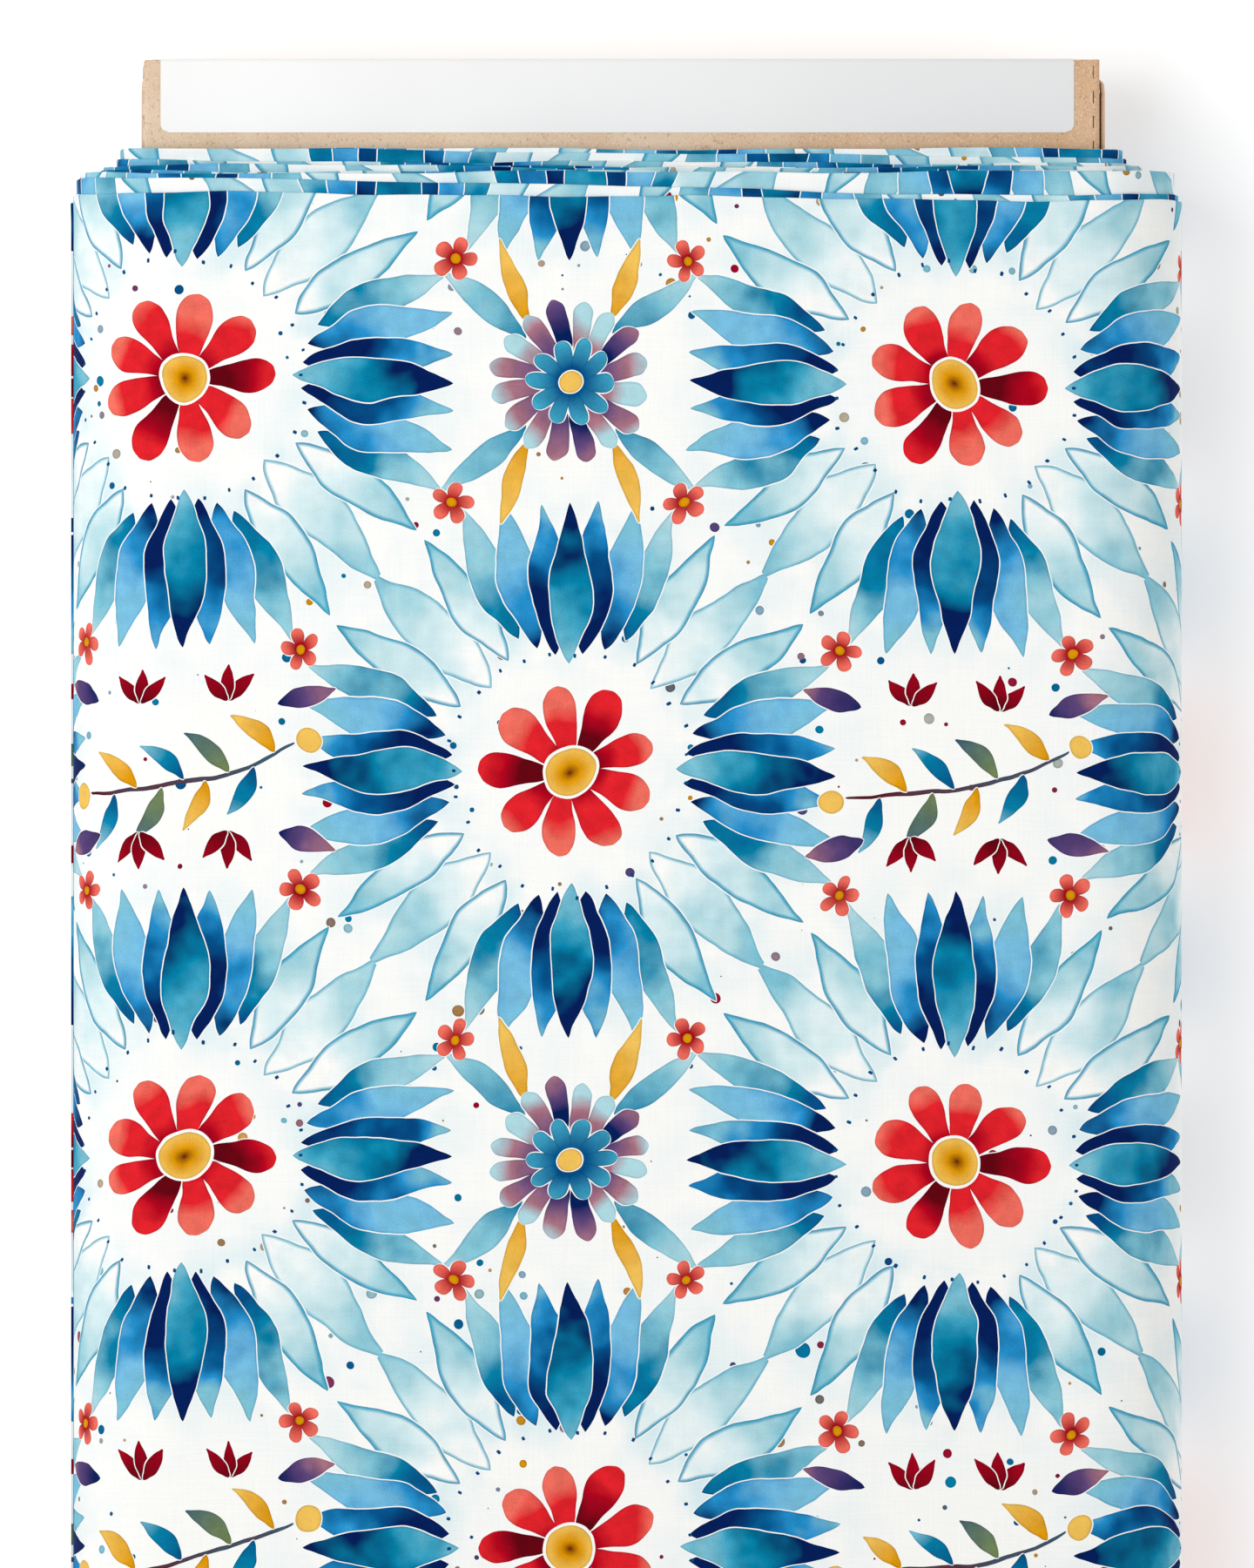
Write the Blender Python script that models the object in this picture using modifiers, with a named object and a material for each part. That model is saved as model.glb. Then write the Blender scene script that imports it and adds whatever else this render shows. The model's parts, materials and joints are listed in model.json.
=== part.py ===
"""Bolt of printed cotton, folded double and wound on a flat corrugated board core.

The bolt lies on its back. X runs across the board, Y along it towards the labelled end, Z up, and the
origin is at the centre of the footprint. All sizes are in metres.
"""
import math

import bmesh
import bpy
from mathutils import Vector

# ---- Driving dimensions -------------------------------------------------------------------------
BOARD_WIDTH = 0.2032            # 8 in core
BOARD_LENGTH = 0.6096           # 24 in core
CORE_THICKNESS = 0.01905        # 3/4 in core
SHEET = 0.003                   # B-flute corrugated board
GAP = 0.0003                    # air between neighbouring solids
EDGE_SOFTNESS = 0.0004          # crushed edge of the corrugated sheet

CLOTH_FOLDED_WIDTH = 0.559      # 44 in cloth folded in half lengthwise
CLOTH_DOUBLE = 0.00045          # two plies of cloth
TURNS = 20                      # wraps round the core
TURN_RISE = 0.00082             # growth per wrap on the front and the back
TURN_RISE_LEFT = 0.00072        # growth per wrap on the left side, where the cloth is wound tightest
TURN_RISE_RIGHT = 0.00085       # growth per wrap on the right side
FIRST_WRAP = 0.0010             # core face to the middle of the first wrap, over the tape
FIRST_BEND = 0.0012             # bend radius of the first wrap at the core's edges
BEND_RISE = 0.00108             # growth of the bend radius per wrap
BEND_SHARE = 0.4                # share of a side's path taken by each of its two bends
BEND_STEPS = 5                  # straight pieces in one quarter bend
START_X = -0.060                # where the cloth's start is taped to the front of the core

# How far each wrap's folded edge stops short of the labelled end of the board. The first number
# counts wraps from the start of the cloth, which crosses the front from n to n + 1/4.
FOLD_SETBACK = (
    (0.0, 0.0225), (4.0, 0.0194), (5.0, 0.0194), (5.25, 0.0211), (7.5, 0.0245), (10.0, 0.0229),
    (10.25, 0.0239), (13.5, 0.0262), (17.0, 0.0247), (17.25, 0.0244), (18.0, 0.0259),
    (18.25, 0.0294), (19.0, 0.0290), (19.25, 0.0305), (20.0, 0.0305),
)

FREE_END_START = 0.20           # share of the last climb up the left side where the free end starts
FREE_END_STOP = 0.46            # and where it stops, just below the widest point
FREE_END_STEPS = 5              # straight pieces in the free end
SMALL_TURN = 0.001              # step along the winding that gives its direction

WEB_SETBACK = 0.020             # room left at the ends of the core for the tuck tabs
GLUE_FLANGE = 0.025
BACK_SEAM = 0.001               # gap between the two back half panels
DUST_FLAP = 0.040               # length folded in from each side wall
DUST_FLAP_PLAY = 0.0007         # room between a dust flap and the end flap in front of it
TUCK_TAB_WIDTH = 0.110
TUCK_TAB_DEPTH = 0.010
TUCK_TAB_CORNER = 0.004
TUCK_TAB_DROP = 0.0122          # front face of the core to the tab's score line
FLAP_SIDE_CLEARANCE = 0.0004
FLAP_FOOT_CLEARANCE = 0.00055   # end flap to back panel, so the flap swings free

LABEL_WIDTH = 0.194
LABEL_ON_FACE = 0.0155
LABEL_ON_END = 0.0150
LABEL_CORNER = 0.0018
LABEL_OFFSET = -0.0008          # the label sits slightly left of the board's middle
PAPER = 0.00015
TAPE_WIDTH = 0.024
TAPE_END_MARGIN = 0.030         # tape ends this far inside the cloth's edges

# ---- Worked out from the dimensions above -------------------------------------------------------
HALF_WIDTH = BOARD_WIDTH / 2
HALF_LENGTH = BOARD_LENGTH / 2
HALF_CORE = CORE_THICKNESS / 2
LAST_BACK_WRAP = TURNS - 0.5
CORE_Z = HALF_CORE + FIRST_WRAP + LAST_BACK_WRAP * TURN_RISE + CLOTH_DOUBLE / 2
CORE_TOP = CORE_Z + HALF_CORE
CORE_BOTTOM = CORE_Z - HALF_CORE
LEFT_REACH = (TURNS - 0.75) * TURN_RISE_LEFT
RIGHT_REACH = (TURNS - 0.75) * TURN_RISE_RIGHT
CORE_X = (LEFT_REACH - RIGHT_REACH) / 2
INNER_TOP = CORE_TOP - SHEET
INNER_BOTTOM = CORE_BOTTOM + SHEET

# Colours, as linear RGB, and roughness
KRAFT = ((0.62, 0.42, 0.26), 0.85)
INSIDE_KRAFT = ((0.50, 0.33, 0.20), 0.90)
LABEL_WHITE = ((0.88, 0.88, 0.87), 0.60)
TAPE_CREAM = ((0.80, 0.74, 0.60), 0.45)
CLOTH_PRINT = ((0.42, 0.62, 0.68), 0.95)
CLOTH_EDGE = ((0.34, 0.52, 0.62), 0.95)

BOLT_COLLECTION = "fabric_bolt"


def clear_scene():
    """Remove every object, so the script can run again in an open file."""
    for obj in list(bpy.data.objects):
        bpy.data.objects.remove(obj, do_unlink=True)


def new_collection(name):
    collection = bpy.data.collections.new(name)
    bpy.context.scene.collection.children.link(collection)
    return collection


def add_material(name, finish):
    colour, roughness = finish
    material = bpy.data.materials.new(name)
    material.use_nodes = True
    shader = material.node_tree.nodes["Principled BSDF"]
    shader.inputs["Base Color"].default_value = (*colour, 1.0)
    shader.inputs["Roughness"].default_value = roughness
    shader.inputs["Metallic"].default_value = 0.0
    return material


def place(name, mesh, collection, finish, origin, parent=None):
    """Link a mesh as one named part. Its vertices are relative to origin, a point in the world."""
    obj = bpy.data.objects.new(name, mesh)
    obj.data.materials.append(add_material(name, finish))
    collection.objects.link(obj)
    obj.location = origin
    if parent is not None:
        obj.parent = parent
        obj.location = origin - parent.matrix_world.translation
    bpy.context.view_layer.update()
    return obj


def soften_edges(obj, width=EDGE_SOFTNESS):
    bevel = obj.modifiers.new("soft_edges", "BEVEL")
    bevel.width = width
    bevel.segments = 2
    bevel.limit_method = "ANGLE"


def add_box(name, low, high, collection, finish, origin=None, parent=None, soft=True):
    """A box between two corners, with its object origin at its centre or at a hinge."""
    low = Vector(low)
    high = Vector(high)
    centre = (low + high) / 2
    origin = centre if origin is None else Vector(origin)
    mesh = bpy.data.meshes.new(name)
    cage = bmesh.new()
    bmesh.ops.create_cube(cage, size=1.0)
    bmesh.ops.scale(cage, vec=high - low, verts=cage.verts)
    bmesh.ops.translate(cage, vec=centre - origin, verts=cage.verts)
    cage.to_mesh(mesh)
    cage.free()
    obj = place(name, mesh, collection, finish, origin, parent)
    if soft:
        soften_edges(obj)
    return obj


def add_plate(name, outline, plane, start, thickness, collection, finish, origin, parent=None):
    """A flat outline made solid. plane names the outline's two axes, such as "xy" or "xz"."""
    curve = bpy.data.curves.new(name, "CURVE")
    curve.dimensions = "2D"
    curve.fill_mode = "BOTH"
    curve.extrude = thickness / 2
    spline = curve.splines.new("POLY")
    spline.points.add(len(outline) - 1)
    spline.use_cyclic_u = True
    for point, (across, along) in zip(spline.points, outline):
        point.co = (across, along, 0.0, 1.0)
    guide = bpy.data.objects.new(name + "_outline", curve)
    collection.objects.link(guide)
    bpy.context.view_layer.update()
    mesh = bpy.data.meshes.new_from_object(guide.evaluated_get(bpy.context.evaluated_depsgraph_get()))
    bpy.data.objects.remove(guide, do_unlink=True)
    bpy.data.curves.remove(curve)
    mesh.name = name
    origin = Vector(origin)
    middle = start + thickness / 2
    for vertex in mesh.vertices:
        across, along, depth = vertex.co
        if plane == "xy":
            world = Vector((across, along, middle + depth))
        else:
            world = Vector((across, middle - depth, along))
        vertex.co = world - origin
    body = bmesh.new()
    body.from_mesh(mesh)
    bmesh.ops.remove_doubles(body, verts=body.verts, dist=1e-6)
    bmesh.ops.recalc_face_normals(body, faces=body.faces)
    body.to_mesh(mesh)
    body.free()
    return place(name, mesh, collection, finish, origin, parent)


def arc(centre, radius, start_degrees, end_degrees, steps=4):
    """Points on a quarter turn or less, both ends included."""
    points = []
    for step in range(steps + 1):
        angle = math.radians(start_degrees + (end_degrees - start_degrees) * step / steps)
        points.append((centre[0] + radius * math.cos(angle), centre[1] + radius * math.sin(angle)))
    return points


# ---- The corrugated core ------------------------------------------------------------------------
def build_core_panels(collection):
    """Front panel, side walls and the two back half panels."""
    left = CORE_X - HALF_WIDTH
    right = CORE_X + HALF_WIDTH
    front = add_box(
        "front_panel", (left, -HALF_LENGTH, INNER_TOP), (right, HALF_LENGTH, CORE_TOP),
        collection, KRAFT)
    wall_end = HALF_LENGTH - 2 * SHEET - DUST_FLAP_PLAY - GAP
    wall_low = INNER_BOTTOM + GAP
    wall_high = INNER_TOP - GAP
    add_box("left_side_wall", (left, -wall_end, wall_low), (left + SHEET, wall_end, wall_high),
            collection, KRAFT)
    add_box("right_side_wall", (right - SHEET, -wall_end, wall_low), (right, wall_end, wall_high),
            collection, KRAFT)
    add_box("back_panel_left", (left, -HALF_LENGTH, CORE_BOTTOM),
            (CORE_X - BACK_SEAM / 2, HALF_LENGTH, INNER_BOTTOM), collection, KRAFT)
    add_box("back_panel_right", (CORE_X + BACK_SEAM / 2, -HALF_LENGTH, CORE_BOTTOM),
            (right, HALF_LENGTH, INNER_BOTTOM), collection, KRAFT)
    return front


def build_webs(collection):
    """The webs turn up from the back seam, and their flanges are glued under the front panel."""
    reach = HALF_LENGTH - WEB_SETBACK
    for side, direction in (("left", -1), ("right", 1)):
        inner = CORE_X + direction * BACK_SEAM / 2
        outer = inner + direction * SHEET
        add_box(side + "_web",
                (min(inner, outer), -reach, INNER_BOTTOM + GAP),
                (max(inner, outer), reach, INNER_TOP - SHEET - 2 * GAP), collection, INSIDE_KRAFT)
        tip = inner + direction * GLUE_FLANGE
        add_box(side + "_glue_flange",
                (min(inner, tip), -reach, INNER_TOP - SHEET - GAP),
                (max(inner, tip), reach, INNER_TOP - GAP), collection, INSIDE_KRAFT)


def build_dust_flaps(collection, end_name, end):
    """Flaps folded in from the side walls, standing behind the end flap."""
    outer_face = HALF_LENGTH - SHEET - DUST_FLAP_PLAY
    near = min(end * outer_face, end * (outer_face - SHEET))
    far = max(end * outer_face, end * (outer_face - SHEET))
    for side, direction in (("left", -1), ("right", 1)):
        edge = CORE_X + direction * HALF_WIDTH
        tip = edge - direction * DUST_FLAP
        add_box(end_name + "_dust_flap_" + side,
                (min(edge, tip), near, INNER_BOTTOM + GAP), (max(edge, tip), far, INNER_TOP - GAP),
                collection, INSIDE_KRAFT)


def build_end_flap(collection, front, end_name, end):
    """The flap that closes one end, hinged on the front panel's outer edge, with its tuck tab."""
    hinge = Vector((CORE_X, end * HALF_LENGTH, CORE_TOP))
    outer = end * HALF_LENGTH
    inner = end * (HALF_LENGTH - SHEET)
    half_flap = HALF_WIDTH - FLAP_SIDE_CLEARANCE
    flap = add_box(
        end_name + "_flap",
        (CORE_X - half_flap, min(outer, inner), INNER_BOTTOM + FLAP_FOOT_CLEARANCE),
        (CORE_X + half_flap, max(outer, inner), INNER_TOP - GAP),
        collection, KRAFT, origin=hinge, parent=front)
    score = Vector((CORE_X, inner, CORE_TOP - TUCK_TAB_DROP))
    root = HALF_LENGTH - SHEET - GAP
    tip = root - TUCK_TAB_DEPTH
    half = TUCK_TAB_WIDTH / 2
    round_centre = half - TUCK_TAB_CORNER
    outline = [(CORE_X - half, root), (CORE_X + half, root)]
    outline += arc((CORE_X + round_centre, tip + TUCK_TAB_CORNER), TUCK_TAB_CORNER, 0, -90)
    outline += arc((CORE_X - round_centre, tip + TUCK_TAB_CORNER), TUCK_TAB_CORNER, -90, -180)
    outline = [(across, end * along) for across, along in outline]
    add_plate(end_name + "_tuck_tab", outline, "xy", score.z - GAP - SHEET, SHEET,
              collection, KRAFT, origin=score, parent=flap)
    return flap


def build_label(collection, front, flap):
    """A paper label folded over the board's end: one half on the front panel, one on the flap."""
    centre = CORE_X + LABEL_OFFSET
    half = LABEL_WIDTH / 2
    foot = HALF_LENGTH - LABEL_ON_FACE
    head = HALF_LENGTH - GAP
    inner = half - LABEL_CORNER
    outline = [(centre - half, head)]
    outline += arc((centre - inner, foot + LABEL_CORNER), LABEL_CORNER, 180, 270)
    outline += arc((centre + inner, foot + LABEL_CORNER), LABEL_CORNER, 270, 360)
    outline.append((centre + half, head))
    add_plate("label_face_half", outline, "xy", CORE_TOP + GAP, PAPER, collection, LABEL_WHITE,
              origin=(centre, HALF_LENGTH, CORE_TOP), parent=front)
    top = CORE_TOP - GAP
    low = CORE_TOP - LABEL_ON_END
    outline = [(centre + half, top), (centre - half, top)]
    outline += arc((centre - inner, low + LABEL_CORNER), LABEL_CORNER, 180, 270)
    outline += arc((centre + inner, low + LABEL_CORNER), LABEL_CORNER, 270, 360)
    add_plate("label_end_half", outline, "xz", HALF_LENGTH + GAP, PAPER, collection, LABEL_WHITE,
              origin=(CORE_X, HALF_LENGTH, CORE_TOP), parent=flap)


# ---- The wound cloth ----------------------------------------------------------------------------
def fold_setback(turn):
    """How far the folded edge stops short of the board's end at this point of the winding."""
    for (first, low), (second, high) in zip(FOLD_SETBACK, FOLD_SETBACK[1:]):
        if turn <= second:
            share = (turn - first) / (second - first)
            smooth = share * share * (3 - 2 * share)
            return low + (high - low) * smooth
    return FOLD_SETBACK[-1][1]


def wrap_depth(turn):
    """Wraps lying under this point. It grows on the two sides and stays level on the faces."""
    whole = math.floor(turn)
    phase = turn - whole
    if phase < 0.25:
        return whole
    if phase < 0.5:
        return whole + (phase - 0.25) * 2
    if phase < 0.75:
        return whole + 0.5
    return whole + 0.5 + (phase - 0.75) * 2


def side_point(share, depth, side):
    """A point on one side of the roll, share going 0 to 1 from the front face to the back face."""
    rise = TURN_RISE_LEFT if side < 0 else TURN_RISE_RIGHT
    reach = HALF_WIDTH + FIRST_WRAP + rise * depth
    height = HALF_CORE + FIRST_WRAP + TURN_RISE * depth
    bend = FIRST_BEND + BEND_RISE * depth
    flat = height - bend
    if share < BEND_SHARE:
        angle = math.radians(90 * (1 - share / BEND_SHARE))
        level = flat
    elif share > 1 - BEND_SHARE:
        angle = math.radians(-90 * (share - 1 + BEND_SHARE) / BEND_SHARE)
        level = -flat
    else:
        angle = 0.0
        level = flat * (0.5 - share) / (0.5 - BEND_SHARE)
    across = reach - bend + bend * math.cos(angle)
    return CORE_X + side * across, CORE_Z + level + bend * math.sin(angle)


def wrap_point(turn):
    """The middle of the doubled cloth, as (x, z), at this point of the winding."""
    phase = turn - math.floor(turn)
    depth = wrap_depth(turn)
    if phase < 0.25:
        left = side_point(0, depth, -1)
        right = side_point(0, depth, 1)
        share = phase / 0.25
        return left[0] + (right[0] - left[0]) * share, left[1]
    if phase < 0.5:
        return side_point((phase - 0.25) / 0.25, depth, 1)
    if phase < 0.75:
        left = side_point(1, depth, -1)
        right = side_point(1, depth, 1)
        share = (phase - 0.5) / 0.25
        return right[0] + (left[0] - right[0]) * share, right[1]
    return side_point(1 - (phase - 0.75) / 0.25, depth, -1)


def side_shares():
    """Where one side is divided: each bend into equal steps, with one straight piece between."""
    bend = [BEND_SHARE * step / BEND_STEPS for step in range(BEND_STEPS + 1)]
    return bend + [1 - share for share in reversed(bend)]


def winding_turns():
    """The winding's division points, from the taped start to the free end's hinge."""
    turns = []
    for whole in range(TURNS):
        turns += [whole, whole + 0.125]
        turns += [whole + 0.25 + 0.25 * share for share in side_shares()]
        turns.append(whole + 0.625)
        turns += [whole + 0.75 + 0.25 * share for share in side_shares()]
    left = side_point(0, 0, -1)[0]
    right = side_point(0, 0, 1)[0]
    start = 0.25 * (START_X - left) / (right - left)
    stop = TURNS - 0.25 + 0.25 * FREE_END_START
    inside = sorted(turn for turn in set(turns) if start < turn < stop)
    return [start] + inside + [stop]


def add_cloth(name, turns, collection, finish, origin, parent=None):
    """A strip of doubled cloth along the winding: an open surface made solid."""
    mesh = bpy.data.meshes.new(name)
    strip = bmesh.new()
    rungs = []
    for turn in turns:
        x, z = wrap_point(turn)
        fold = HALF_LENGTH - fold_setback(turn)
        rungs.append((strip.verts.new(Vector((x, fold, z)) - origin),
                      strip.verts.new(Vector((x, fold - CLOTH_FOLDED_WIDTH, z)) - origin)))
    for (fold_a, far_a), (fold_b, far_b) in zip(rungs, rungs[1:]):
        strip.faces.new((fold_a, far_a, far_b, fold_b))
    strip.to_mesh(mesh)
    strip.free()
    mesh.shade_smooth()
    obj = place(name, mesh, collection, finish, origin, parent)
    solid = obj.modifiers.new("two_plies", "SOLIDIFY")
    solid.thickness = CLOTH_DOUBLE
    solid.offset = 0.0
    solid.use_even_offset = True
    return obj


def build_cloth(collection):
    """The wound cloth, and its free end, which hinges away from the roll low on the left side."""
    roll = add_cloth("cloth_roll", winding_turns(), collection, CLOTH_PRINT, Vector((0, 0, CORE_Z)))
    roll_end = TURNS - 0.25 + 0.25 * FREE_END_START
    here = Vector(wrap_point(roll_end))
    ahead = Vector(wrap_point(roll_end + SMALL_TURN)) - here
    forward = ahead.normalized()
    outward = Vector((-forward.y, forward.x))
    axis = here + outward * CLOTH_DOUBLE / 2 + forward * GAP / 2
    first = roll_end + SMALL_TURN * GAP / ahead.length
    last = TURNS - 0.25 + 0.25 * FREE_END_STOP
    turns = [first + (last - first) * step / FREE_END_STEPS for step in range(FREE_END_STEPS + 1)]
    add_cloth("cloth_free_end", turns, collection, CLOTH_EDGE, Vector((axis.x, 0, axis.y)), roll)


def build_start_tape(collection):
    """Double-faced tape between the core's front and the start of the cloth."""
    level = CORE_TOP + GAP
    reach = CLOTH_FOLDED_WIDTH / 2 - TAPE_END_MARGIN
    middle = HALF_LENGTH - fold_setback(0) - CLOTH_FOLDED_WIDTH / 2
    add_box("start_tape", (START_X, middle - reach, level),
            (START_X + TAPE_WIDTH, middle + reach, level + PAPER), collection, TAPE_CREAM, soft=False)


def build_bolt():
    clear_scene()
    collection = new_collection(BOLT_COLLECTION)
    front = build_core_panels(collection)
    build_webs(collection)
    for end_name, end in (("label_end", 1), ("plain_end", -1)):
        build_dust_flaps(collection, end_name, end)
        flap = build_end_flap(collection, front, end_name, end)
        if end > 0:
            build_label(collection, front, flap)
    build_start_tape(collection)
    build_cloth(collection)


build_bolt()
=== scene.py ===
"""Looks of the fabric bolt: printed cotton wound double round a corrugated board core.

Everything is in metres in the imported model's frame: X across the board, Y towards the labelled end,
Z up. Only the printed pattern is laid out in centimetres.
"""
import json
import math
import random

import bmesh
import bpy
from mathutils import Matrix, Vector


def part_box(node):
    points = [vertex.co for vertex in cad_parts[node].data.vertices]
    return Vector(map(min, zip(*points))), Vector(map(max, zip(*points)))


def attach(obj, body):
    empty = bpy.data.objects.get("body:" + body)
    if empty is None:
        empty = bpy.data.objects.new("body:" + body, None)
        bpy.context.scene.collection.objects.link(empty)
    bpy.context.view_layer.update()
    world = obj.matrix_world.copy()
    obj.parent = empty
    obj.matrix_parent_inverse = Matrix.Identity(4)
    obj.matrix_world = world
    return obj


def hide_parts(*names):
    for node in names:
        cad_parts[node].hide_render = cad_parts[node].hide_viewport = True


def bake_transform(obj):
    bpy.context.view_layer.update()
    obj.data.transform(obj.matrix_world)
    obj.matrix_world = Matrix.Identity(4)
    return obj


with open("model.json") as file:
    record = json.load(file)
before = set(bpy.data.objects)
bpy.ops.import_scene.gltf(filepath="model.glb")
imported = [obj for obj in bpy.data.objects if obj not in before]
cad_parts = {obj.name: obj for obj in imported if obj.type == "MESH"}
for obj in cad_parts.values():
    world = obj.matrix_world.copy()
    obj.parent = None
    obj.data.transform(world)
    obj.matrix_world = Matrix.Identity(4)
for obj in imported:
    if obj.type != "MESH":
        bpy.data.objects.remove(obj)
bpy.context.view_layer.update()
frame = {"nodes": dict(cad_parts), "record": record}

# ---- The core, from the frame
FRONT_LOW, FRONT_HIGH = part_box("front_panel")
CORE_X = (FRONT_LOW.x + FRONT_HIGH.x) / 2
CORE_TOP = FRONT_HIGH.z
CORE_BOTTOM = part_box("back_panel_left")[0].z
CORE_Z = (CORE_TOP + CORE_BOTTOM) / 2
HALF_WIDTH = (FRONT_HIGH.x - FRONT_LOW.x) / 2
HALF_LENGTH = (FRONT_HIGH.y - FRONT_LOW.y) / 2
HALF_CORE = (CORE_TOP - CORE_BOTTOM) / 2
SHEET = CORE_TOP - FRONT_LOW.z  # thickness of the corrugated sheet

# ---- The winding, as the CAD model has it
TURNS = 20
TURN_RISE = 0.00082
TURN_RISE_LEFT = 0.00072
TURN_RISE_RIGHT = 0.00085
FIRST_WRAP = 0.0010
FIRST_BEND = 0.0012
BEND_RISE = 0.00108
BEND_SHARE = 0.4
FOLDED_WIDTH = 0.559
START_TURN = 0.05
STEPS_PER_TURN = 400  # of the table of arc lengths
TINY_TURN = 1e-6  # the winding is worked out up to this close to its last turn
FREE_END_START = 0.20
FREE_END_STOP = 0.46
FOLD_SETBACK = (
    (0.0, 0.0225), (4.0, 0.0194), (5.0, 0.0194), (5.25, 0.0211), (7.5, 0.0245), (10.0, 0.0229),
    (10.25, 0.0239), (13.5, 0.0262), (17.0, 0.0247), (17.25, 0.0244), (18.0, 0.0259),
    (18.25, 0.0294), (19.0, 0.0290), (19.25, 0.0305), (20.0, 0.0305),
)
PLY = 0.00020  # thickness of one layer of cloth
PLY_GAP = 0.00013  # middle of the doubled cloth to the middle of each ply
FOLD_FLARE = 0.00024  # the same at the springy fold
FLARE_LENGTH = 0.004
CROWN = 0.0009  # how much the middle of the roll's front stands up
THREAD_PAIR = 0.00084  # two threads of the weave
SPLIT_TURN = 18.62  # hidden place under the roll where the outer wraps' fine mesh starts
# Waves of the fold's wandering: height, pace along the cloth and start
FOLD_WAVES = ((0.00022, 57.0, 0.0), (0.00016, 131.0, 1.3), (0.00008, 311.0, 0.4))
SELVEDGE = 0.009  # unprinted strip along the cloth's two edges

# ---- Corrugated board
LINER = 0.00035
MEDIUM = 0.00022
FLUTE_PITCH = 0.0064
PERFORATION_PITCH = 0.0053
PERFORATION_LENGTH = 0.0024
CREASE = 0.0030  # width of folded liner beside a score
LONG_BEND = 0.0012  # bend of the liner at the core's long scores
END_BEND = 0.0008  # the same at the end folds
DUST_BEND = 0.0014  # the same where a side wall turns into its dust flap
BACK_CREASE = 0.0032  # height of the back's long creases
SLIT_LINE = 0.0014  # the right perforation's distance from the edge
LEFT_SLITS = (5, 6)  # parts of the crease's profile that the slits cut
RIGHT_SLITS = (1,)
RUBBED_CORNER = 0.0020  # round of the front's worn left corner
PLAIN_CORNER = 0.0005  # round of the other three
WALL_STATIONS = (-0.284, -0.277, -0.270, 0.270, 0.277, 0.284)
LEFT_BULGE = 0.0004  # how far the side walls stand out beyond the cloth
RIGHT_BULGE = 0.0013
BULGE_START = 0.270  # from mid-length, where the cloth stops pressing on the walls
BULGE_RUN = 0.012
CREASE_FOOT = 0.0002  # the long front creases stop this far above the sheet's lower face
END_CREASE_FOOT = 0.0001
CORNER_UNDER = 0.00002  # clearance of the crushed corners under the liner,
CORNER_OVER = 0.00005  # over the sheet's lower face
CORNER_INSIDE = 0.00015  # and inside the end fold
ENDS = (("label_end", 1), ("plain_end", -1))
SIDES = (("left", -1), ("right", 1))

# ---- Torn fibre along the right perforation
LIP_SEED = 7
LIP_STEPS = 8
LIP_LENGTH = (0.85, 1.1)  # in shares of the slit
LIP_BULGE = (0.0004, 0.0007)
LIP_HEIGHT = (0.00012, 0.00022)

# ---- Label
LABEL_THICKNESS = 0.00014
LABEL_CORNER = 0.0018
LABEL_BEND = 0.0009
LABEL_GAP = 0.00003  # between the paper and the board

# ---- Camera, floor and light
CAMERA_X = 0.0
CAMERA_Y = 0.1509
CAMERA_DISTANCE = 6.0
VIEW_HEIGHT = 0.3331  # height of the framed field at the board's front face
SENSOR_WIDTH = 36.0
FLOOR_SIDE = 200.0  # from the middle to each side
FLOOR_DROP = 0.0002  # below the bolt, so the two don't coincide
LIGHT_TARGET = (0, 0.15, 0)
LIGHTS = (("key", (-0.56, 0.36, 1.02), 0.80, 8.3), ("fill", (0.80, 0.10, 0.50), 0.60, 1.5))


# ======== Mesh helpers ========
def add_object(name, data):
    obj = bpy.data.objects.new(name, data)
    bpy.context.scene.collection.objects.link(obj)
    return obj


def link_mesh(name, mesh, material):
    obj = add_object(name, mesh)
    mesh.materials.append(material)
    return obj


def thicken(obj, thickness):
    """Turn a sheet into a closed solid of this thickness, with crisp cut edges."""
    modifier = obj.modifiers.new("thickness", "SOLIDIFY")
    modifier.thickness = thickness
    modifier.offset = 0.0
    modifier.use_even_offset = True
    depsgraph = bpy.context.evaluated_depsgraph_get()
    solid = bpy.data.meshes.new_from_object(obj.evaluated_get(depsgraph), depsgraph=depsgraph)
    obj.modifiers.clear()
    obj.data = solid
    return smooth_shaded(obj)


def smooth_shaded(obj, sharp_degrees=50):
    obj.data.shade_smooth()
    obj.data.set_sharp_from_angle(angle=math.radians(sharp_degrees))
    return obj


def join_rings(body, rings):
    """Skin between rings of vertices, each ring to the next."""
    for before, after in zip(rings, rings[1:]):
        for i in range(len(before)):
            k = (i + 1) % len(before)
            body.faces.new((before[i], before[k], after[k], after[i]))


def finish_body(body, name, material, sharp_degrees):
    """An object from a bmesh, with its faces turned outwards."""
    bmesh.ops.recalc_face_normals(body, faces=body.faces)
    mesh = bpy.data.meshes.new(name)
    body.to_mesh(mesh)
    body.free()
    return smooth_shaded(link_mesh(name, mesh, material), sharp_degrees)


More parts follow.
